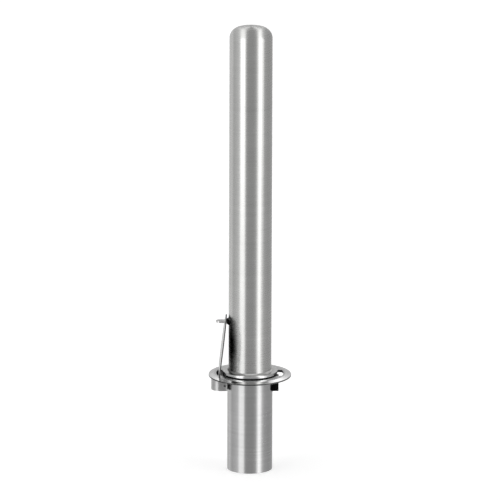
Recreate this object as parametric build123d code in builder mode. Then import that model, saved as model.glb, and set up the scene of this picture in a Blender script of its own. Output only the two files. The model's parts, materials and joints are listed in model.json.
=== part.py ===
"""Lift-out steel bollard standing in its ground socket, with the socket's hinged lid stood up
against the post.  Millimetres, +Z up, origin on the post's axis at the socket's lower end.

The socket is cast into the ground up to its flange.  The post drops into it and stands on its
collar.  The lid stands in the notch on the -X side, and the post's tongue goes through its slot."""

import os
from math import asin, cos, degrees, radians, sin

from build123d import *

# ---- driving dimensions -------------------------------------------------------------------------

# socket tube and flange
SOCKET_R = 57.15
SOCKET_WALL = 2.0
FLANGE_R = 104.0
FLANGE_TOP = 248.5
FLANGE_THICK = 6.0
BEVEL_R = 90.0  # the flange is flat inside this radius and falls to its rim outside it
BEVEL_DROP = 2.5
NOTCH_INNER = 62.0
NOTCH_OUTER = 85.0
NOTCH_HALF = 28.0
NOTCH_CORNER = 2.0

# hinge pocket under the left notch, keeper under the right notch
SHEET = 3.0
POCKET_OUTER = 97.5
POCKET_INNER = 56.5  # a little inside the socket's outer face, which it is cut to fit
POCKET_CORNER = 23.0
POCKET_BEND = 5.0
POCKET_BOTTOM = 208.5
DRAIN_R = 6.0
VENT_R = 3.0
VENT_X = -63.0
VENT_Z = 222.0
KEEPER_OUTER = 72.5
KEEPER_HALF = 10.0
KEEPER_BOTTOM = 203.5
KEEPER_HOLE_R = 4.5
KEEPER_HOLE_X = 65.2
KEEPER_CORNER = 3.0

# lid hinge
PIN_X = -68.5
PIN_Z = 239.5
PIN_R = 3.0
EAR_R = 7.0
EAR_FOOT = 225.5
RUNNING = 0.05
BARREL_R = 5.0
BARREL_BORE_R = 4.0
BARREL_HALF = 22.5
BUSH_LENGTH = 12.0
BUSH_FLANGE = 1.0
WASHER = 1.0

# lid
LID_R = 90.0
LID_THICK = 3.0
LID_LEAN = 7.0  # degrees from upright, towards the post
LID_HEEL = 12.5  # the lid's straight back edge, measured from the hinge pin
TAB_HALF = 19.0
TAB_BEND_R = 5.0
SLOT_LENGTH = 10.0
SLOT_WIDTH = 24.0
SLOT_CORNER = 2.5

# post
POST_R = 54.0
POST_WALL = 2.5
POST_TOP = 1143.5
POST_BOTTOM = 12.0
KNUCKLE_R = 28.0
CROWN_R = 220.0
DOME_SKIRT = 15.0
GASKET_R = 69.0
GASKET_THICK = 2.5
COLLAR_R = 70.0
COLLAR_THICK = 6.0
PLUG_LIP_R = 54.6
PLUG_LIP = 4.0
PLUG_DEPTH = 30.0
PLUG_WALL = 4.0

# lock tongue
TONGUE_Z = 382.8
TONGUE_THICK = 4.5
TONGUE_HALF = 10.0
TONGUE_TIP_X = -86.0
PADLOCK_HOLE_R = 5.0
BUFFER_HALF = 14.0
BUFFER_RISE = 6.0  # half its height where it lies on the post
BUFFER_NOSE_X = -59.0

# welds and broken edges
BEAD = 3.0
FINE_BEAD = 2.0
EDGE = 0.6

# ---- worked out ---------------------------------------------------------------------------------

FLANGE_BOTTOM = FLANGE_TOP - FLANGE_THICK
SOCKET_BORE_R = SOCKET_R - SOCKET_WALL
POCKET_HALF = NOTCH_HALF + SHEET
EAR_FACE = NOTCH_HALF - SHEET
POCKET_SEAM_Y = (SOCKET_R**2 - POCKET_INNER**2) ** 0.5  # where the pocket's inner face meets the socket
GASKET_TOP = FLANGE_TOP + GASKET_THICK
COLLAR_TOP = GASKET_TOP + COLLAR_THICK
CROWN_ANGLE = degrees(asin((POST_R - KNUCKLE_R) / (CROWN_R - KNUCKLE_R)))
KNUCKLE_Z = POST_TOP - CROWN_R + (CROWN_R - KNUCKLE_R) * cos(radians(CROWN_ANGLE))
TUBE_TOP = KNUCKLE_Z - DOME_SKIRT
TONGUE_LOW = TONGUE_Z - TONGUE_THICK / 2
TONGUE_HIGH = TONGUE_Z + TONGUE_THICK / 2

# The lid's own directions: up the lid from the pin, and out of its outer face.
LID_UP = Vector(sin(radians(LID_LEAN)), 0, cos(radians(LID_LEAN)))
LID_OUT = Vector(-cos(radians(LID_LEAN)), 0, sin(radians(LID_LEAN)))
LID_GAP = FLANGE_TOP - PIN_Z  # from the pin to the face that shuts on the flange
LID_FACE = Plane(origin=(PIN_X, 0, PIN_Z), x_dir=LID_UP, z_dir=LID_OUT).offset(LID_GAP)
LID_SIDE = Plane(origin=(PIN_X, 0, PIN_Z), x_dir=LID_UP, z_dir=(0, -1, 0))
SLOT_UP = (TONGUE_Z - PIN_Z - (LID_GAP + LID_THICK / 2) * LID_OUT.Z) / LID_UP.Z


# ---- shapes used more than once -----------------------------------------------------------------


def ring(r_out, r_in, z_low, z_high):
    """A plain ring about the post's axis."""
    with BuildSketch(Plane.XY.offset(z_low)) as section:
        Circle(r_out)
        Circle(r_in, mode=Mode.SUBTRACT)
    extrude(section.sketch, amount=z_high - z_low)


def core(radius, z_low, z_high):
    """Takes away a round column about the post's axis."""
    with BuildSketch(Plane.XY.offset(z_low)) as section:
        Circle(radius)
    extrude(section.sketch, amount=z_high - z_low, mode=Mode.SUBTRACT)


def bead_ring(radius, z, rise):
    """A triangular weld bead about the post's axis, in the corner at this radius and height."""
    with BuildSketch(Plane.XZ) as section:
        with BuildLine():
            Polyline((radius, z), (radius + abs(rise), z), (radius, z + rise), close=True)
        make_face()
    revolve(section.sketch, axis=Axis.Z)


def pin_ring(y_low, y_high, r_out, r_in=0.0):
    """A disc or a ring about the hinge pin's axis."""
    with BuildSketch(Plane.XZ.offset(-y_low)) as section:
        with Locations((PIN_X, PIN_Z)):
            Circle(r_out)
            if r_in:
                Circle(r_in, mode=Mode.SUBTRACT)
    extrude(section.sketch, amount=y_low - y_high)


def pocket_plan(grow, mode=Mode.ADD):
    """The pocket's plan grown or shrunk all round: wide corners outside, tight bends at the socket."""
    with BuildSketch() as plan:
        with Locations((-(POCKET_OUTER + POCKET_INNER) / 2, 0)):
            Rectangle(POCKET_OUTER - POCKET_INNER + 2 * grow, 2 * (POCKET_HALF + grow))
        fillet(plan.vertices().group_by(Axis.X)[0], POCKET_CORNER + grow)
        fillet(plan.vertices().group_by(Axis.X)[-1], POCKET_BEND + grow)
    add(plan.sketch_local, mode=mode)


def rims(part, radius):
    """The part's circular edges of this radius."""
    circles = part.edges().filter_by(GeomType.CIRCLE)
    return circles.filter_by(lambda edge: abs(edge.radius - radius) < EDGE)


def save(part, name):
    part.label = name
    export_step(part, f"parts/{name}.step")


# ---- socket -------------------------------------------------------------------------------------

with BuildPart() as socket_tube:
    ring(SOCKET_R, SOCKET_BORE_R, 0, FLANGE_TOP)

with BuildPart() as flange_plate:
    with BuildSketch(Plane.XZ):
        with BuildLine():
            Polyline(
                (SOCKET_R, FLANGE_BOTTOM),
                (FLANGE_R, FLANGE_BOTTOM),
                (FLANGE_R, FLANGE_TOP - BEVEL_DROP),
                (BEVEL_R, FLANGE_TOP),
                (SOCKET_R, FLANGE_TOP),
                close=True,
            )
        make_face()
    revolve(axis=Axis.Z)
    fillet(rims(flange_plate, FLANGE_R), EDGE)
    with BuildSketch(Plane.XY.offset(FLANGE_BOTTOM)) as notches:
        Circle(NOTCH_OUTER)
        Circle(NOTCH_INNER, mode=Mode.SUBTRACT)
        Rectangle(2 * FLANGE_R, 2 * NOTCH_HALF, mode=Mode.INTERSECT)
        fillet(notches.vertices(), NOTCH_CORNER)
    extrude(amount=FLANGE_THICK, mode=Mode.SUBTRACT)

with BuildPart() as flange_weld:
    bead_ring(SOCKET_R, FLANGE_BOTTOM, -BEAD)
    # the bead stops short of the pocket and of the keeper
    with BuildSketch(Plane.XY.offset(FLANGE_BOTTOM)):
        Rectangle(FLANGE_R, 2 * (POCKET_HALF + BEAD), align=(Align.MAX, Align.CENTER))
        Rectangle(FLANGE_R, 2 * (KEEPER_HALF + BEAD), align=(Align.MIN, Align.CENTER))
    extrude(amount=-BEAD, mode=Mode.SUBTRACT)

with BuildPart() as hinge_pocket:
    with BuildSketch(Plane.XY.offset(POCKET_BOTTOM)):
        pocket_plan(0)
        pocket_plan(-SHEET, Mode.SUBTRACT)
        Circle(SOCKET_R, mode=Mode.SUBTRACT)
    extrude(amount=FLANGE_BOTTOM - POCKET_BOTTOM)
    with BuildSketch(Plane.XZ):
        with Locations((VENT_X, VENT_Z)):
            Circle(VENT_R)
    extrude(amount=POCKET_HALF, both=True, mode=Mode.SUBTRACT)

with BuildPart() as pocket_floor:
    with BuildSketch(Plane.XY.offset(POCKET_BOTTOM)):
        pocket_plan(-SHEET)
        with Locations(((NOTCH_INNER + NOTCH_OUTER) / -2, 0)):
            Circle(DRAIN_R, mode=Mode.SUBTRACT)
    extrude(amount=SHEET)

with BuildPart() as pocket_weld:
    # a bead round the pocket's top, and one up each side of its seam with the socket
    with BuildSketch(Plane.XY.offset(FLANGE_BOTTOM)):
        pocket_plan(BEAD)
    extrude(amount=-BEAD, taper=45)
    with BuildSketch(Plane.XY.offset(POCKET_BOTTOM)):
        with Locations((-POCKET_INNER, -POCKET_SEAM_Y), (-POCKET_INNER, POCKET_SEAM_Y)):
            Circle(BEAD)
    extrude(amount=FLANGE_BOTTOM - POCKET_BOTTOM)
    with BuildSketch(Plane.XY.offset(POCKET_BOTTOM)):
        pocket_plan(0)
        Circle(SOCKET_R)
    extrude(amount=FLANGE_BOTTOM - POCKET_BOTTOM, mode=Mode.SUBTRACT)

with BuildPart() as hinge_ears:
    # a plate against each side wall of the pocket, round about the pin
    for y in (NOTCH_HALF, SHEET - NOTCH_HALF):
        with BuildSketch(Plane.XZ.offset(-y)):
            with Locations((PIN_X, PIN_Z)):
                Circle(EAR_R)
                Rectangle(2 * EAR_R, PIN_Z - EAR_FOOT, align=(Align.CENTER, Align.MAX))
                Circle(PIN_R, mode=Mode.SUBTRACT)
        extrude(amount=SHEET)
    with BuildSketch(Plane.XY.offset(EAR_FOOT)):
        pocket_plan(-SHEET)
    extrude(amount=PIN_Z + EAR_R - EAR_FOOT, mode=Mode.INTERSECT)

with BuildPart() as hinge_pin:
    pin_ring(-NOTCH_HALF, NOTCH_HALF, PIN_R)

with BuildPart() as pin_washers:
    for ends in ((-EAR_FACE, WASHER - EAR_FACE), (EAR_FACE - WASHER, EAR_FACE)):
        pin_ring(*ends, BARREL_R, PIN_R)

with BuildPart() as keeper_lug:
    with BuildSketch(Plane.XY.offset(KEEPER_BOTTOM)):
        Rectangle(KEEPER_OUTER, 2 * KEEPER_HALF, align=(Align.MIN, Align.CENTER))
        Circle(SOCKET_R, mode=Mode.SUBTRACT)
    extrude(amount=FLANGE_BOTTOM - KEEPER_BOTTOM)
    fillet(keeper_lug.edges().filter_by(Axis.Z).group_by(Axis.X)[-1], KEEPER_CORNER)
    fillet(keeper_lug.faces().sort_by(Axis.X)[-1].edges().group_by(Axis.Z)[0], EDGE)
    with BuildSketch(Plane.XY.offset(KEEPER_BOTTOM)):
        with Locations((KEEPER_HOLE_X, 0)):
            Circle(KEEPER_HOLE_R)
    extrude(amount=FLANGE_BOTTOM - KEEPER_BOTTOM, mode=Mode.SUBTRACT)

with BuildPart() as keeper_weld:
    with BuildSketch(Plane.XY.offset(KEEPER_BOTTOM)):
        with Locations((SOCKET_R, -KEEPER_HALF), (SOCKET_R, KEEPER_HALF)):
            Circle(FINE_BEAD)
        Circle(SOCKET_R, mode=Mode.SUBTRACT)
        Rectangle(KEEPER_OUTER, 2 * KEEPER_HALF, align=(Align.MIN, Align.CENTER), mode=Mode.SUBTRACT)
    extrude(amount=FLANGE_BOTTOM - KEEPER_BOTTOM)

# ---- post ---------------------------------------------------------------------------------------

with BuildPart() as post_tube:
    ring(POST_R, POST_R - POST_WALL, POST_BOTTOM, TUBE_TOP)


def dome_half(inset):
    """Half of the cap's outline, this far inside its outer face: skirt, knuckle and crown."""
    with BuildLine() as outline:
        skirt = Line((POST_R - inset, TUBE_TOP), (POST_R - inset, KNUCKLE_Z))
        knuckle = JernArc(skirt @ 1, (0, 1), KNUCKLE_R - inset, 90 - CROWN_ANGLE)
        crown = JernArc(knuckle @ 1, knuckle % 1, CROWN_R - inset, CROWN_ANGLE)
        Polyline(crown @ 1, (0, TUBE_TOP), skirt @ 0)
    return outline.edges()


with BuildPart() as dome_cap:
    with BuildSketch(Plane.XZ):
        make_face(dome_half(0))
    revolve(axis=Axis.Z)
    with BuildSketch(Plane.XZ):
        make_face(dome_half(POST_WALL))
    revolve(axis=Axis.Z, mode=Mode.SUBTRACT)

with BuildPart() as collar_gasket:
    ring(GASKET_R, POST_R, FLANGE_TOP, GASKET_TOP)

with BuildPart() as stop_collar:
    ring(COLLAR_R, POST_R, GASKET_TOP, COLLAR_TOP)
    fillet(rims(stop_collar, COLLAR_R), EDGE)

with BuildPart() as collar_weld:
    bead_ring(POST_R, COLLAR_TOP, BEAD)

with BuildPart() as lock_tongue:
    with BuildSketch(Plane.XY.offset(TONGUE_LOW)):
        tip_x = TONGUE_TIP_X + TONGUE_HALF
        Rectangle(-tip_x, 2 * TONGUE_HALF, align=(Align.MAX, Align.CENTER))
        with Locations((tip_x, 0)):
            Circle(TONGUE_HALF)
            Circle(PADLOCK_HOLE_R, mode=Mode.SUBTRACT)
        Circle(POST_R, mode=Mode.SUBTRACT)
    extrude(amount=TONGUE_THICK)

with BuildPart() as tongue_weld:
    bead_ring(POST_R, TONGUE_HIGH, FINE_BEAD)
    bead_ring(POST_R, TONGUE_LOW, -FINE_BEAD)
    with BuildSketch(Plane.XY.offset(TONGUE_LOW - FINE_BEAD)):
        Rectangle(-TONGUE_TIP_X, 2 * TONGUE_HALF, align=(Align.MAX, Align.CENTER))
    extrude(amount=TONGUE_THICK + 2 * FINE_BEAD, mode=Mode.INTERSECT)

with BuildPart() as tongue_buffer:
    # a rubber block round the tongue's root, that the lid rests against
    with BuildSketch(Plane.XZ):
        with BuildLine():
            Polyline(
                (0, TONGUE_Z - BUFFER_RISE),
                (-POST_R - EDGE, TONGUE_Z - BUFFER_RISE),
                (BUFFER_NOSE_X, TONGUE_LOW - EDGE),
                (BUFFER_NOSE_X, TONGUE_HIGH + EDGE),
                (-POST_R - EDGE, TONGUE_Z + BUFFER_RISE),
                (0, TONGUE_Z + BUFFER_RISE),
                close=True,
            )
        make_face()
    extrude(amount=BUFFER_HALF, both=True)
    core(POST_R, TONGUE_Z - BUFFER_RISE, TONGUE_Z + BUFFER_RISE)
    add(lock_tongue.part, mode=Mode.SUBTRACT)
    add(tongue_weld.part, mode=Mode.SUBTRACT)

with BuildPart() as foot_plug:
    ring(PLUG_LIP_R, POST_R - POST_WALL - PLUG_WALL, POST_BOTTOM - PLUG_LIP, POST_BOTTOM)
    chamfer(foot_plug.edges().group_by(Axis.Z)[0], EDGE)
    inner_r = POST_R - POST_WALL
    ring(inner_r, inner_r - PLUG_WALL, POST_BOTTOM, POST_BOTTOM + PLUG_DEPTH)
    ring(inner_r - PLUG_WALL, DRAIN_R, POST_BOTTOM, POST_BOTTOM + PLUG_LIP)

# ---- lid ----------------------------------------------------------------------------------------

with BuildPart() as lid_plate:
    with BuildSketch(LID_FACE) as disc:
        with Locations((-PIN_X, 0)):
            Circle(LID_R)
        with Locations((LID_HEEL, 0)):
            Rectangle(2 * LID_R, 2 * LID_R, align=(Align.MIN, Align.CENTER), mode=Mode.INTERSECT)
        with Locations((SLOT_UP, 0)):
            RectangleRounded(SLOT_LENGTH, SLOT_WIDTH, SLOT_CORNER, mode=Mode.SUBTRACT)
    extrude(amount=LID_THICK)
    outline = lid_plate.edges().filter_by(lambda edge: edge.length > LID_R)
    fillet(outline, EDGE)
    # the tab: a bent strip from the disc's back edge down to the barrel
    with BuildSketch(LID_SIDE) as bend:
        half_thick = LID_THICK / 2
        with BuildLine():
            Polyline(
                (-half_thick, 0),
                (-half_thick, LID_GAP + LID_THICK),
                (LID_HEEL + LID_THICK, LID_GAP + LID_THICK),
                (LID_HEEL + LID_THICK, LID_GAP),
                (half_thick, LID_GAP),
                (half_thick, 0),
                close=True,
            )
        make_face()
        fillet(bend.vertices().sort_by_distance((-half_thick, LID_GAP + LID_THICK))[0], TAB_BEND_R)
        fillet(bend.vertices().sort_by_distance((half_thick, LID_GAP))[0], TAB_BEND_R - LID_THICK)
        Circle(BARREL_R, mode=Mode.SUBTRACT)
    extrude(amount=TAB_HALF, both=True)

with BuildPart() as lid_barrel:
    pin_ring(-BARREL_HALF, BARREL_HALF, BARREL_R, BARREL_BORE_R)

with BuildPart() as barrel_weld:
    # one bead each side of the tab, where it meets the barrel
    with BuildSketch(LID_SIDE):
        with Locations((LID_THICK / 2, BARREL_R), (-LID_THICK / 2, BARREL_R)):
            Circle(BEAD / 2)
        Circle(BARREL_R, mode=Mode.SUBTRACT)
        Rectangle(LID_THICK, 2 * LID_GAP, mode=Mode.SUBTRACT)
    extrude(amount=TAB_HALF, both=True)

with BuildPart() as lid_bushes:
    for side in (-1, 1):
        ends = sorted((side * BARREL_HALF, side * (BARREL_HALF - BUSH_LENGTH)))
        pin_ring(*ends, BARREL_BORE_R, PIN_R + RUNNING)
        lip = sorted((side * BARREL_HALF, side * (BARREL_HALF + BUSH_FLANGE)))
        pin_ring(*lip, BARREL_R, PIN_R + RUNNING)

# ---- one file for each piece --------------------------------------------------------------------

PIECES = {
    "socket_tube": socket_tube,
    "flange_plate": flange_plate,
    "flange_weld": flange_weld,
    "hinge_pocket": hinge_pocket,
    "pocket_floor": pocket_floor,
    "pocket_weld": pocket_weld,
    "hinge_ears": hinge_ears,
    "hinge_pin": hinge_pin,
    "pin_washers": pin_washers,
    "keeper_lug": keeper_lug,
    "keeper_weld": keeper_weld,
    "post_tube": post_tube,
    "dome_cap": dome_cap,
    "collar_gasket": collar_gasket,
    "stop_collar": stop_collar,
    "collar_weld": collar_weld,
    "lock_tongue": lock_tongue,
    "tongue_weld": tongue_weld,
    "tongue_buffer": tongue_buffer,
    "foot_plug": foot_plug,
    "lid_plate": lid_plate,
    "lid_barrel": lid_barrel,
    "barrel_weld": barrel_weld,
    "lid_bushes": lid_bushes,
}

os.makedirs("parts", exist_ok=True)
for piece_name, piece in PIECES.items():
    save(piece.part, piece_name)
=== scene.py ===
"""Looks of the lift-out bollard: studio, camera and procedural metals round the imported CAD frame."""

import json
import math

import bpy
from mathutils import Matrix, Vector


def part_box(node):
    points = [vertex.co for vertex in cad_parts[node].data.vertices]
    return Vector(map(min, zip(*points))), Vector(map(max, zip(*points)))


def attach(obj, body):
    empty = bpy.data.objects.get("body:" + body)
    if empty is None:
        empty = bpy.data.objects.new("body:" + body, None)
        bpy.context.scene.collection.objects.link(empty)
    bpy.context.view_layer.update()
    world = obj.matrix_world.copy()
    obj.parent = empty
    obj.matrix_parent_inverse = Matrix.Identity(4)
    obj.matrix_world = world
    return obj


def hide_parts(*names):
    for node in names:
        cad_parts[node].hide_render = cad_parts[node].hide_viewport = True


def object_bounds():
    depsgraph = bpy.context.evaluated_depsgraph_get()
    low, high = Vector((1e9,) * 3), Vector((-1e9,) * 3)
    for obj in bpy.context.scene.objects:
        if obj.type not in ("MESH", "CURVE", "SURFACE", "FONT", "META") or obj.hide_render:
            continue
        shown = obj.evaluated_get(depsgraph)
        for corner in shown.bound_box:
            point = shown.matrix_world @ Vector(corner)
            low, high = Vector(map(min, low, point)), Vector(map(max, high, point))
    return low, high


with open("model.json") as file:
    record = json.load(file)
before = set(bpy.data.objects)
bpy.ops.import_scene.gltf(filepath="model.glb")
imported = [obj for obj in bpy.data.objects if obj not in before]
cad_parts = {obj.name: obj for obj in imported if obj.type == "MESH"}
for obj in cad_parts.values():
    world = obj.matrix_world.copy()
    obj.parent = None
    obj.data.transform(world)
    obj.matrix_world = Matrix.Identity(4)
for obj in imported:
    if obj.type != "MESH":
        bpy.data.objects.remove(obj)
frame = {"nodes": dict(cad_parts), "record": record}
CAD_LOW, CAD_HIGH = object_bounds()

# ---- camera and studio --------------------------------------------------------------------------

ELEVATION = math.radians(14.4)
DISTANCE = 20.0
FRAME_HEIGHT = 1.256  # metres of object that the picture's height takes in
AIM = Vector((-0.0008, 0.0, 0.5680))
ROLL = math.radians(0.2)
SENSOR = 36.0
CLIP_END = 200.0
TO_CAMERA = (0.0, -math.cos(ELEVATION), math.sin(ELEVATION))

FLOOR_SIZE = 60.0
FLOOR_DROP = 0.0005  # below the socket's lower end
FLOOR_COLOUR = (0.93, 0.93, 0.93, 1.0)
FLOOR_ROUGHNESS = 0.9
FLOOR_GLOW = 0.36

# Brightness of the studio, as (degrees from the camera's side, brightness): two white strips left and
# right of a grey camera side.  Overhead they close in, so that on the post's dome they stand upright.
STUDIO_RING = (
    (-180, 0.55),
    (-165, 0.85),
    (-150, 0.74),
    (-138, 0.64),
    (-122, 0.78),
    (-100, 0.54),
    (-80, 0.62),
    (-64, 0.74),
    (-52, 1.40),
    (-33, 1.38),
    (-23, 0.46),
    (-14, 0.38),
    (14, 0.38),
    (29, 0.48),
    (39, 1.10),
    (45, 1.75),
    (55, 1.55),
    (66, 0.72),
    (80, 0.48),
    (108, 0.42),
    (140, 0.44),
    (158, 0.50),
    (180, 0.55),
)
RING_TOP = 2.0  # the ramp's brightness of 1
UNDERFOOT = 0.30
UNDERFOOT_SPAN = (-0.6, -0.95)  # height of the direction, where that brightness starts and is full
BACK_WALL = 0.56
BACK_WALL_SPAN = (-0.02, 0.0)  # how far the mirror's slope may lean back before it shows the back wall
POST_R = 0.054
KNUCKLE_R = 0.028  # the dome's round shoulder
CROWN_R = 0.220  # the dome's nearly flat top
STEEPEST = 0.9999  # keeps the slope's level part above 0, straight up

# Softboxes in front of the strips, as (degrees from the camera's side, width).  They stand high,
# so the post's upper part is the brighter one.
SOFTBOXES = ((-43, 0.70), (59, 0.76))
SOFTBOX_HEIGHT = 1.35
SOFTBOX_MIDDLE = 1.05
SOFTBOX_AWAY = 1.5
SOFTBOX_POWER = 2.0


def add_camera():
    camera = bpy.data.objects.new("camera", bpy.data.cameras.new("camera"))
    bpy.context.scene.collection.objects.link(camera)
    camera.data.sensor_width = SENSOR
    camera.data.lens = SENSOR * DISTANCE / FRAME_HEIGHT
    back = Vector(TO_CAMERA)
    turn = (-back).to_track_quat("-Z", "Y").to_matrix().to_4x4()
    roll = Matrix.Rotation(ROLL, 4, "Z")
    camera.matrix_world = Matrix.Translation(AIM + back * DISTANCE) @ turn @ roll
    camera.data.clip_end = CLIP_END
    bpy.context.scene.camera = camera


class Graph:
    """A node tree with short ways to add and join nodes."""

    def __init__(self, tree):
        self.tree = tree
        self.tree.nodes.clear()

    def add(self, kind, inputs=None, **settings):
        node = self.tree.nodes.new(kind)
        for name, value in settings.items():
            setattr(node, name, value)
        for name, value in (inputs or {}).items():
            self.set(node.inputs[name], value)
        return node

    def set(self, socket, value):
        if isinstance(value, bpy.types.NodeSocket):
            self.tree.links.new(value, socket)
        else:
            socket.default_value = value

    def math(self, operation, a, b=0.0):
        node = self.add("ShaderNodeMath", operation=operation)
        self.set(node.inputs[0], a)
        self.set(node.inputs[1], b)
        return node.outputs[0]

    def span(self, value, low, high, to_low=0.0, to_high=1.0):
        """Maps low..high to to_low..to_high, clamped."""
        node = self.add("ShaderNodeMapRange", {"Value": value})
        node.inputs["From Min"].default_value = low
        node.inputs["From Max"].default_value = high
        node.inputs["To Min"].default_value = to_low
        node.inputs["To Max"].default_value = to_high
        return node.outputs["Result"]

    def mix(self, factor, a, b):
        node = self.add("ShaderNodeMix", data_type="RGBA")
        self.set(node.inputs[0], factor)
        self.set(node.inputs[6], a)
        self.set(node.inputs[7], b)
        return node.outputs[2]

    def noise(self, vector, scale, detail=2.0, rough=0.5):
        settings = {"Vector": vector, "Scale": scale, "Detail": detail, "Roughness": rough}
        return self.add("ShaderNodeTexNoise", settings).outputs["Fac"]

    def ramp(self, value, stops, interpolation="LINEAR"):
        """A colour ramp of grey stops, each (place, brightness)."""
        node = self.add("ShaderNodeValToRGB", {"Fac": value})
        node.color_ramp.interpolation = interpolation
        elements = node.color_ramp.elements
        while len(elements) < len(stops):
            elements.new(0.5)
        for element, (place, level) in zip(elements, stops):
            element.position = place
            element.color = (level, level, level, 1.0)
        return node.outputs["Color"]


def grey(level):
    return (level, level, level, 1.0)


def add_world():
    """The studio seen in the steel, and plain white behind the object."""
    world = bpy.data.worlds.new("studio")
    world.use_nodes = True
    bpy.context.scene.world = world
    g = Graph(world.node_tree)
    way = g.add("ShaderNodeTexCoord").outputs["Generated"]
    # the slope of a mirror that shows this part of the studio to a viewer at the front
    half = g.add("ShaderNodeVectorMath", {0: way, 1: TO_CAMERA}, operation="ADD").outputs[0]
    half = g.add("ShaderNodeVectorMath", {0: half}, operation="NORMALIZE").outputs[0]
    slope = g.add("ShaderNodeSeparateXYZ", {0: half})
    level = g.math("MULTIPLY", slope.outputs["Z"], slope.outputs["Z"])
    level = g.math("SQRT", g.math("SUBTRACT", 1.0, g.math("MINIMUM", level, STEEPEST)))
    # how far from the post's middle that mirror lies on its side or its dome
    reach = g.math("DIVIDE", (POST_R - KNUCKLE_R) / POST_R, level)
    reach = g.math("ADD", reach, KNUCKLE_R / POST_R)
    reach = g.math("MULTIPLY", slope.outputs["X"], g.math("MINIMUM", reach, CROWN_R / POST_R))
    reach = g.math("MAXIMUM", g.math("MINIMUM", reach, 1.0), -1.0)
    turn = g.math("MULTIPLY", g.math("ARCSINE", reach), 2.0)
    stops = [((degrees + 180.0) / 360.0, level / RING_TOP) for degrees, level in STUDIO_RING]
    ring = g.ramp(g.span(turn, -math.pi, math.pi), stops, "EASE")
    ring = g.add("ShaderNodeVectorMath", {0: ring, 1: (RING_TOP,) * 3}, operation="MULTIPLY").outputs[0]
    wall = g.mix(g.span(slope.outputs["Y"], *BACK_WALL_SPAN), ring, grey(BACK_WALL))
    height = g.add("ShaderNodeSeparateXYZ", {0: way}).outputs["Z"]
    light = g.mix(g.span(height, *UNDERFOOT_SPAN), wall, grey(UNDERFOOT))
    seen = g.add("ShaderNodeLightPath").outputs["Is Camera Ray"]
    shown = g.mix(seen, light, grey(1.0))
    background = g.add("ShaderNodeBackground", {"Color": shown})
    g.add("ShaderNodeOutputWorld", {"Surface": background.outputs[0]})


def add_softboxes():
    """Two tall lights that only the shine of the steel shows."""
    for degrees, width in SOFTBOXES:
        light = bpy.data.lights.new("softbox", "AREA")
        light.shape = "RECTANGLE"
        light.size = width
        light.size_y = SOFTBOX_HEIGHT
        light.energy = SOFTBOX_POWER
        box = bpy.data.objects.new("softbox", light)
        bpy.context.scene.collection.objects.link(box)
        turn = math.radians(degrees)
        away = Vector((math.sin(turn), -math.cos(turn), 0.0))
        box.location = away * SOFTBOX_AWAY + Vector((0.0, 0.0, SOFTBOX_MIDDLE))
        box.rotation_euler = away.to_track_quat("Z", "Y").to_euler()
        box.visible_camera = False
        box.visible_diffuse = False


def add_floor():
    """A pale floor that the steel neither mirrors nor is shaded by."""
    mesh = bpy.data.meshes.new("floor")
    half = FLOOR_SIZE / 2
    corners = [(-half, -half, 0), (half, -half, 0), (half, half, 0), (-half, half, 0)]
    mesh.from_pydata(corners, [], [(0, 1, 2, 3)])
    floor = bpy.data.objects.new("floor", mesh)
    bpy.context.scene.collection.objects.link(floor)
    floor.location.z = CAD_LOW[2] - FLOOR_DROP
    material = bpy.data.materials.new("floor")
    material.use_nodes = True
    g = Graph(material.node_tree)
    shader = g.add("ShaderNodeBsdfPrincipled", {"Roughness": FLOOR_ROUGHNESS})
    shader.inputs["Base Color"].default_value = FLOOR_COLOUR
    shader.inputs["Emission Color"].default_value = grey(1.0)
    shader.inputs["Emission Strength"].default_value = FLOOR_GLOW
    g.add("ShaderNodeOutputMaterial", {"Surface": shader.outputs[0]})
    mesh.materials.append(material)
    floor.visible_glossy = False
    floor.visible_shadow = False


# ---- materials ----------------------------------------------------------------------------------

UPWARD = Vector((0.0, 0.0, 1.0))
LID_LEAN = math.radians(7.0)  # towards the post
LID_OUT = Vector((-math.cos(LID_LEAN), 0.0, math.sin(LID_LEAN)))
LID_LOW, LID_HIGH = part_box("lid_plate")
LID_MIDDLE = (Vector(LID_LOW) + Vector(LID_HIGH)) / 2
# Painted shade on the lid's inner side, which faces the post: full near the middle, none towards the
# rim.
LID_SHADE_EDGE, LID_SHADE_CORE = 0.062, 0.030  # metres from the lid's middle

# Colour in corners: grime together with painted shade.
GRIME_AND_SHADE = (0.09, 0.085, 0.08, 1.0)
# Dark greys of the cut edges: painted shade on the plates' rims.
CUT_EDGE_SHADE_DARK, CUT_EDGE_SHADE_LIGHT = (0.04, 0.04, 0.04, 1.0), (0.12, 0.12, 0.12, 1.0)
# Colours of the painted shade on the lid's inner side.
LID_SHADE_DARK, LID_SHADE_LIGHT = (0.03, 0.03, 0.03, 1.0), (0.07, 0.07, 0.07, 1.0)
WELD_DARK, WELD_LIGHT = (0.56, 0.56, 0.55, 1.0), (0.68, 0.68, 0.67, 1.0)

# Noises, as (scale, detail, roughness).  The first two run along the brush lines.
ACROSS_GRAIN = 750.0
LONG_LINES = 3.0
FINE_STREAKS = (1.0, 3.0, 0.65)
BROAD_STREAKS = (0.12, 2.0, 0.5)
HANDLING_CLOUDS = (14.0, 4.0, 0.6)
HANDLING_MARKS = (55.0, 5.0, 0.7)
WELD_CLOUDS = (90.0, 4.0, 0.6)

# Ranges that a noise is read over: nearly all of it, and its middle.
WIDE = (0.3, 0.7)
MIDDLE = (0.35, 0.65)
STREAK_RANGE = (0.32, 0.68)

FINE_SHARE = 0.65  # of the streaks, next to the broad ones
CLOUD_CONTRAST = 0.04
CORNER_REACH = 0.012  # metres
MARK_ROUGHNESS = 0.05
GRIME_ROUGHNESS = 0.3
CUT_ROUGHNESS = 0.3
QUARTER_TURN = 0.25
WELD_RIPPLES = 150.0  # radians of ripple to a radian round the axis


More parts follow.
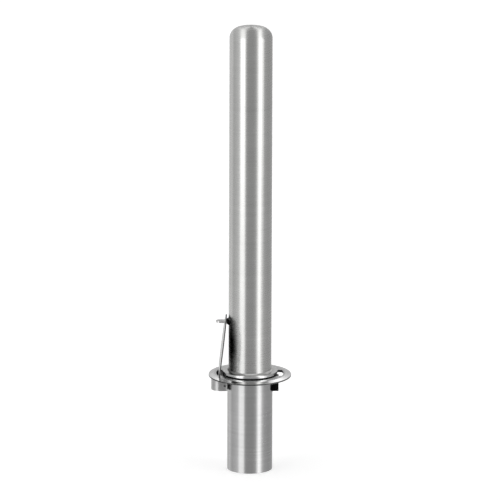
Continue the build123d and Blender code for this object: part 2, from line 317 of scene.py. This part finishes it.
def new_material(name):
    """An empty material, and its graph."""
    material = bpy.data.materials.new(name)
    material.use_nodes = True
    return material, Graph(material.node_tree)


def place(g):
    """The point in the object's own frame, and its parts."""
    point = g.add("ShaderNodeTexCoord").outputs["Object"]
    return point, g.add("ShaderNodeSeparateXYZ", {0: point})


def radius_of(g, parts):
    """Distance from the Z axis."""
    squares = [g.math("MULTIPLY", parts.outputs[i], parts.outputs[i]) for i in (0, 1)]
    return g.math("SQRT", g.math("ADD", *squares))


def grain_space(g, grain):
    """The point, and coordinates in which the brush lines are long: noise there is fine streaks.

    round: lines round a tube and its dome, or rings on a plate.  up: lines up a sheet.
    along: lines along Y."""
    point, parts = place(g)
    x, y, z = parts.outputs[0], parts.outputs[1], parts.outputs[2]

    def across(value):
        return g.math("MULTIPLY", value, ACROSS_GRAIN)

    def along(value):
        return g.math("MULTIPLY", value, LONG_LINES)

    if grain == "round":
        lines = {0: along(x), 1: along(y), 2: across(g.math("ADD", z, radius_of(g, parts)))}
    elif grain == "up":
        lines = {0: along(x), 1: across(y), 2: along(z)}
    else:
        lines = {0: across(g.math("ADD", x, z)), 1: along(y), 2: 0.0}
    return point, g.add("ShaderNodeCombineXYZ", lines).outputs[0]


def facing(g, way):
    """How far the surface faces this way, from -1 to 1, in the object's own frame."""
    normal = g.add("ShaderNodeTexCoord").outputs["Normal"]
    facing_way = g.add("ShaderNodeVectorMath", {0: normal, 1: tuple(way)}, operation="DOT_PRODUCT")
    return facing_way.outputs["Value"]


def cut_edges(g, way):
    """1 on a plate's cut edges, whose faces look across this way, and 0 on its two faces."""
    return g.span(g.math("ABSOLUTE", facing(g, way)), 0.75, 0.45)


def lid_shade_mask(g, point, back):
    """1 in the middle of the lid's inner side, which faces this way back, and 0 elsewhere: where
    painted shade falls between the lid and the post.
    """
    reach = g.add("ShaderNodeVectorMath", {0: point, 1: tuple(LID_MIDDLE)}, operation="DISTANCE")
    inner = g.span(facing(g, back), 0.5, 0.8)
    return g.math("MULTIPLY", inner, g.span(reach.outputs["Value"], LID_SHADE_EDGE, LID_SHADE_CORE))


def steel(
    name, colour, rough, grain, streak=0.10, anisotropic=0.80, dirt_and_shade=0.35, plate=None, back=None
):
    """Brushed steel: fine streaks, broader drawn bands, cloudy handling marks, and grime with painted
    shade in corners.

    plate: the plate's normal, whose cut edges are left dull, and dark with painted shade.
    back: the way that its inner side faces, whose middle is darkened with painted shade."""
    material, g = new_material(name)
    point, lines = grain_space(g, grain)
    fine = g.noise(lines, *FINE_STREAKS)
    broad = g.noise(lines, *BROAD_STREAKS)
    cloud = g.noise(point, *HANDLING_CLOUDS)
    marks = g.noise(point, *HANDLING_MARKS)
    streaks = g.math(
        "ADD", g.math("MULTIPLY", fine, FINE_SHARE), g.math("MULTIPLY", broad, 1.0 - FINE_SHARE)
    )
    # Painted shade: ambient occlusion darkens the colour in corners and where parts meet, patchy
    # through the marks noise. There the steel is also rougher, as grime.
    corner = g.add(
        "ShaderNodeAmbientOcclusion", {"Distance": CORNER_REACH}, samples=6, only_local=False
    )
    grime_and_shade = g.math("MULTIPLY", g.span(corner.outputs["AO"], 0.75, 0.25), g.span(marks, 0.35, 0.6))
    grime_and_shade = g.math("MULTIPLY", grime_and_shade, dirt_and_shade)

    level = g.span(streaks, *STREAK_RANGE, 1.0 - streak, 1.0 + streak)
    clouded = g.span(cloud, *WIDE, 1.0 - CLOUD_CONTRAST, 1.0 + CLOUD_CONTRAST)
    level = g.math("MULTIPLY", level, clouded)
    base = g.add("ShaderNodeVectorMath", {0: colour[:3], 1: level}, operation="MULTIPLY").outputs[0]
    base = g.mix(grime_and_shade, base, GRIME_AND_SHADE)
    roughness = g.math(
        "ADD",
        g.span(streaks, *WIDE, rough * 0.8, rough * 1.2),
        g.span(marks, 0.55, 0.75, 0.0, MARK_ROUGHNESS),
    )
    roughness = g.math("ADD", roughness, g.math("MULTIPLY", grime_and_shade, GRIME_ROUGHNESS))
    # Cut edges: rougher, which is real, and darkened, which is painted shade on the rims.
    if plate is not None:
        edge = cut_edges(g, plate)
        base = g.mix(edge, base, g.mix(marks, CUT_EDGE_SHADE_DARK, CUT_EDGE_SHADE_LIGHT))
        roughness = g.math("ADD", roughness, g.math("MULTIPLY", edge, CUT_ROUGHNESS))
    # Painted shade: the middle of the lid's inner side, between the lid and the post, is darkened.
    if back is not None:
        base = g.mix(lid_shade_mask(g, point, back), base, g.mix(marks, LID_SHADE_DARK, LID_SHADE_LIGHT))

    relief = g.add("ShaderNodeBump", {"Strength": 0.10, "Distance": 0.0002, "Height": streaks})
    shader = g.add(
        "ShaderNodeBsdfPrincipled",
        {"Base Color": base, "Roughness": roughness, "Normal": relief.outputs[0]},
    )
    shader.inputs["Metallic"].default_value = 1.0
    shader.inputs["Anisotropic"].default_value = anisotropic
    if grain == "round":
        tangent = g.add("ShaderNodeTangent", direction_type="RADIAL", axis="Z")
        g.set(shader.inputs["Tangent"], tangent.outputs[0])
        shader.inputs["Anisotropic Rotation"].default_value = QUARTER_TURN
    g.add("ShaderNodeOutputMaterial", {"Surface": shader.outputs[0]})
    return material


def weld(name):
    """A brushed weld bead: dull, with ripples and a cloudy grey."""
    material, g = new_material(name)
    point, parts = place(g)
    turn = g.math("ARCTAN2", parts.outputs["Y"], parts.outputs["X"])
    ripple = g.math("SINE", g.math("MULTIPLY", turn, WELD_RIPPLES))
    cloud = g.noise(point, *WELD_CLOUDS)
    tint = g.mix(g.span(cloud, *MIDDLE), WELD_DARK, WELD_LIGHT)
    relief = g.add("ShaderNodeBump", {"Strength": 0.5, "Distance": 0.0006, "Height": ripple})
    shader = g.add(
        "ShaderNodeBsdfPrincipled",
        {
            "Base Color": tint,
            "Roughness": g.span(cloud, *WIDE, 0.3, 0.5),
            "Normal": relief.outputs[0],
        },
    )
    shader.inputs["Metallic"].default_value = 1.0
    g.add("ShaderNodeOutputMaterial", {"Surface": shader.outputs[0]})
    return material


def dull(name, dark, light, rough, scale, bump, gloss=0.4):
    """Paint, rubber or plastic: mottled colour and roughness, and a fine skin texture.

    scale is the skin's, and bump its strength."""
    material, g = new_material(name)
    point, _ = place(g)
    skin = g.noise(point, scale, 4.0, 0.6)
    cloud = g.noise(point, scale * 0.06, 3.0, 0.5)
    colour = g.mix(g.span(cloud, *MIDDLE), dark, light)
    relief = g.add("ShaderNodeBump", {"Strength": bump, "Distance": 0.0004, "Height": skin})
    shader = g.add(
        "ShaderNodeBsdfPrincipled",
        {
            "Base Color": colour,
            "Roughness": g.span(skin, *WIDE, rough * 0.85, rough * 1.15),
            "Normal": relief.outputs[0],
        },
    )
    shader.inputs["Specular IOR Level"].default_value = gloss
    g.add("ShaderNodeOutputMaterial", {"Surface": shader.outputs[0]})
    return material


STEELS = {
    "post_steel": dict(colour=(0.62, 0.62, 0.61), rough=0.27, grain="round", streak=0.07),
    "socket_steel": dict(colour=grey(0.57), rough=0.24, grain="round", streak=0.12),
    "flange_steel": dict(
        colour=grey(0.68), rough=0.17, grain="round", anisotropic=0.4, plate=UPWARD
    ),
    "collar_steel": dict(colour=grey(0.80), rough=0.12, grain="round", anisotropic=0.4),
    "pocket_steel": dict(colour=grey(0.55), rough=0.42, grain="round", streak=0.12),
    "lid_steel": dict(
        colour=grey(0.60), rough=0.25, grain="up", anisotropic=0.0, plate=LID_OUT, back=-LID_OUT
    ),
    "tongue_steel": dict(colour=grey(0.78), rough=0.16, grain="along", anisotropic=0.0, dirt_and_shade=0.1),
    "hinge_steel": dict(colour=grey(0.34), rough=0.35, grain="along", anisotropic=0.0, dirt_and_shade=0.8),
}
DULLS = {
    "keeper_black": dict(
        dark=grey(0.002), light=grey(0.006), rough=0.55, scale=900.0, bump=0.25, gloss=0.05
    ),
    "gasket_rubber": dict(
        dark=grey(0.003), light=grey(0.008), rough=0.75, scale=1400.0, bump=0.3, gloss=0.1
    ),
    "plug_plastic": dict(
        dark=grey(0.020), light=grey(0.030), rough=0.50, scale=700.0, bump=0.2
    ),
    "bush_nylon": dict(
        dark=(0.62, 0.60, 0.54, 1.0), light=(0.74, 0.72, 0.66, 1.0), rough=0.45, scale=500.0, bump=0.1
    ),
}


def finishes():
    """One material for each of the record's slots."""
    made = {name: steel(name, **looks) for name, looks in STEELS.items()}
    made["weld_bead"] = weld("weld_bead")
    made.update({name: dull(name, **looks) for name, looks in DULLS.items()})
    return made


def paint_frame(made):
    """Gives each CAD node the material of its slot."""
    slots = {entry["node"]: entry["material_slot"] for entry in frame["record"]["subparts"]}
    for node, piece in frame["nodes"].items():
        piece.data.materials.clear()
        piece.data.materials.append(made[slots[node]])


# ---- pieces with more shape than the CAD gives them ---------------------------------------------

RIPPLE_PITCH = 0.0024  # metres
RIPPLE_STEPS = 8
RIPPLE_DEPTH = 0.07  # of the bead's size
BEAD_STEPS = 7


def collar_bead(material):
    """The post's weld on its collar: a concave bead with the ripples that the torch left."""
    low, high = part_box("collar_weld")
    size = high[2] - low[2]
    outer = high[0]
    ripples = round(2 * math.pi * (outer - size) / RIPPLE_PITCH)
    turns = ripples * RIPPLE_STEPS
    points = []
    for turn in range(turns):
        angle = 2 * math.pi * turn / turns
        wave = abs(math.sin(math.pi * turn / RIPPLE_STEPS)) - 0.5
        rows = []
        for step in range(BEAD_STEPS + 1):
            slope = math.pi / 2 * step / BEAD_STEPS
            reach = size * (1.0 - RIPPLE_DEPTH * wave * math.sin(2 * slope))
            rows.append((outer - reach * math.cos(slope), high[2] - reach * math.sin(slope)))
        rows.append((outer - size, low[2]))
        points += [(radius * math.cos(angle), radius * math.sin(angle), z) for radius, z in rows]
    count = BEAD_STEPS + 2
    faces = []
    for turn in range(turns):
        here = turn * count
        there = (turn + 1) % turns * count
        for row in range(count):
            after = (row + 1) % count
            faces.append((here + row, here + after, there + after, there + row))
    mesh = bpy.data.meshes.new("collar_bead")
    mesh.from_pydata(points, [], faces)
    for number, face in enumerate(mesh.polygons):
        face.use_smooth = number % count < BEAD_STEPS
    mesh.materials.append(material)
    bead = bpy.data.objects.new("collar_bead", mesh)
    bpy.context.scene.collection.objects.link(bead)
    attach(bead, "post")
    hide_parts("collar_weld")


# ---- the scene ----------------------------------------------------------------------------------

bpy.context.scene.view_settings.view_transform = "Standard"
add_camera()
add_world()
add_softboxes()
add_floor()
materials = finishes()
paint_frame(materials)
collar_bead(materials["weld_bead"])
